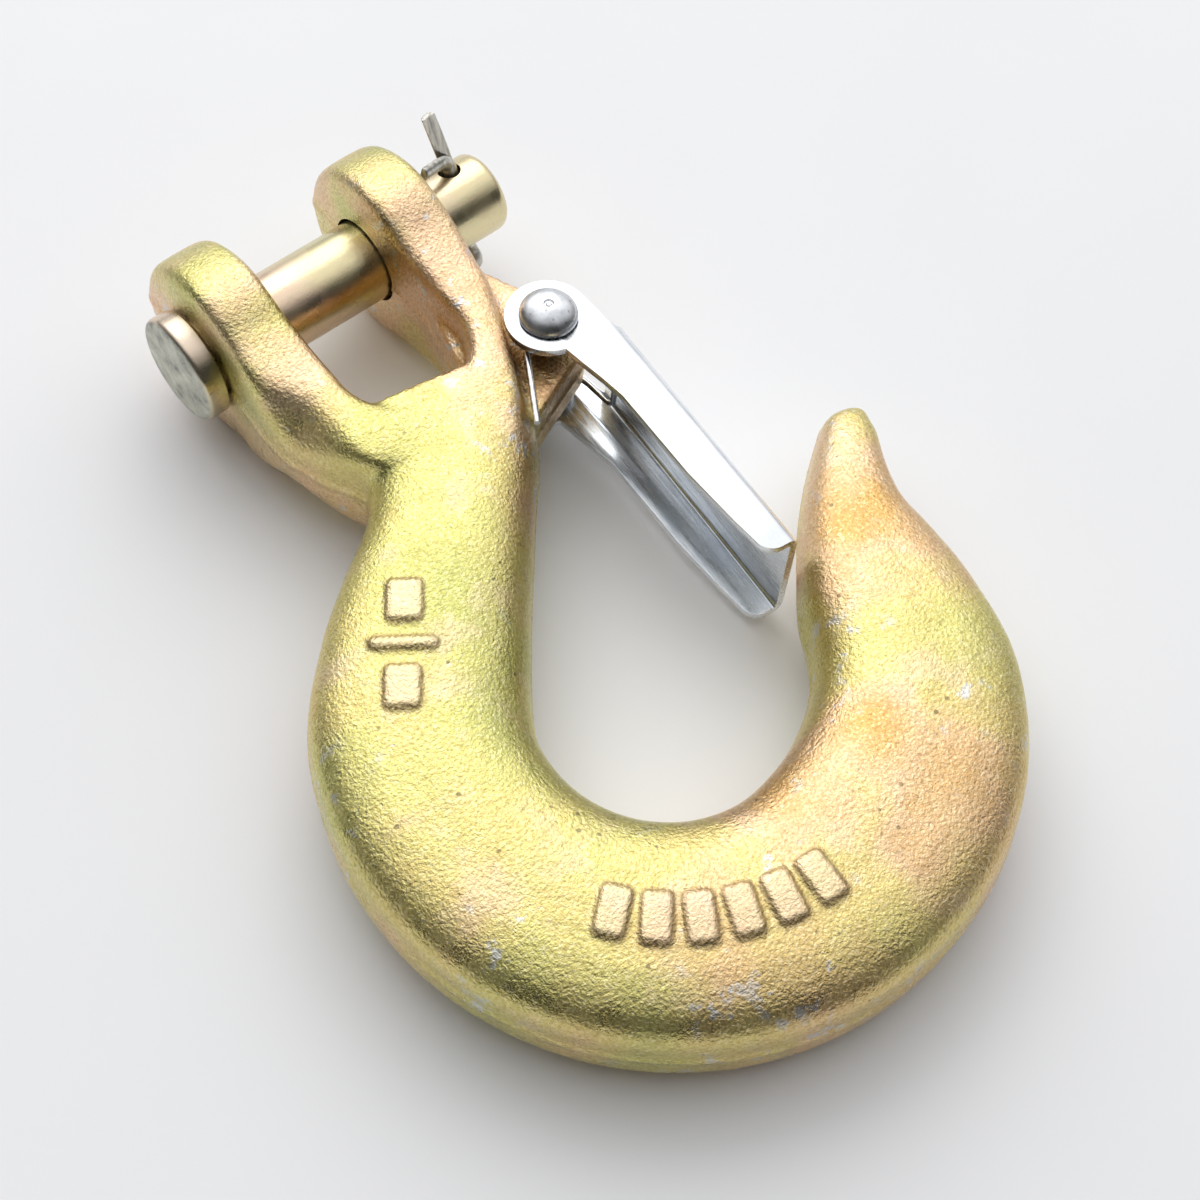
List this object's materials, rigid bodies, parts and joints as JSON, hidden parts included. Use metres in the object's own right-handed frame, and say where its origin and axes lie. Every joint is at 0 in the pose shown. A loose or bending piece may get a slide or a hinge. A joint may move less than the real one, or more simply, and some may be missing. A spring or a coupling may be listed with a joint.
{
  "type": "safety chain hook",
  "caption": "Forged clevis slip hook with a spring-loaded safety latch, a headed clevis pin and a cotter pin.",
  "frame": {"origin": "middle of the box on X and Y, at the plane the hook lies on (the lowest point of the clevis ears)", "axes": "+Z normal to the hook's plane, towards its upper side; +Y from the bowl to the clevis; +X along the clevis pin, from its head to its cotter pin"},
  "size_m": [0.0963, 0.141, 0.0284],
  "materials": {
    "forging": "yellow zinc chromate over a shot-blasted forging, fine grain, faint pink and green bands",
    "pin": "smooth yellow zinc",
    "cotter": "plain drawn steel",
    "latch_sheet": "bright clear zinc on pressed sheet",
    "rivet": "satin upset steel",
    "spring_wire": "bright spring wire"
  },
  "bodies": {
    "hook": {"hook_body": "forging", "latch_rivet": "rivet", "latch_spring": "spring_wire"},
    "latch": {"latch": "latch_sheet"},
    "pin": {"clevis_pin": "pin", "cotter_pin": "cotter"}
  },
  "joints": [
    {"name": "latch_pivot", "type": "hinge", "parent": "hook", "child": "latch", "pos_m": [0.02044, 0.02814, 0.01378], "axis": [0, 0, -1], "range_deg": [0, 36], "stiffness_Nm_per_rad": 0.12, "springref_deg": -34.38, "deforming": ["latch_spring"]},
    {"name": "pin_spin", "type": "hinge", "parent": "hook", "child": "pin", "pos_m": [0.00134, 0.05674, 0.01378], "axis": [1, 0, 0], "continuous": true}
  ]
}
